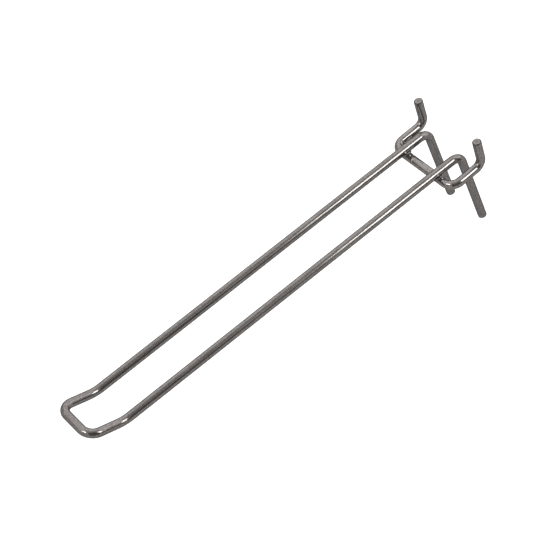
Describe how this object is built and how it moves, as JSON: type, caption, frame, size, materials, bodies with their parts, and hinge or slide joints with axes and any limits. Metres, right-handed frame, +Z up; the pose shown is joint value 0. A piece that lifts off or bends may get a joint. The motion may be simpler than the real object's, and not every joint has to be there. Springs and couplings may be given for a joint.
{
  "type": "double hook",
  "caption": "Long double display hook of bright steel wire: a loop with an upturned lip and wall legs, welded to a bent bracket whose pegs catch behind a perforated panel.",
  "frame": {"origin": "on the plane of the panel's front face, midway between the two pegs, level with the bracket's side runs where they cross that plane", "axes": "+Z up, +Y into the panel, the arms reach out along -Y, +X to the right for someone who faces the panel; the hook is in the place that it has when it hangs"},
  "size_m": [0.0556, 0.2795, 0.1034],
  "materials": {
    "plated_wire": "bright plated drawn steel wire, smooth and mirror-like with faint drawing lines along it",
    "weld_metal": "plated over a rough resistance weld, darker in its creases"
  },
  "bodies": {
    "root": {"loop_wire": "plated_wire", "bracket_wire": "plated_wire", "weld_left": "weld_metal", "weld_right": "weld_metal"}
  },
  "joints": []
}
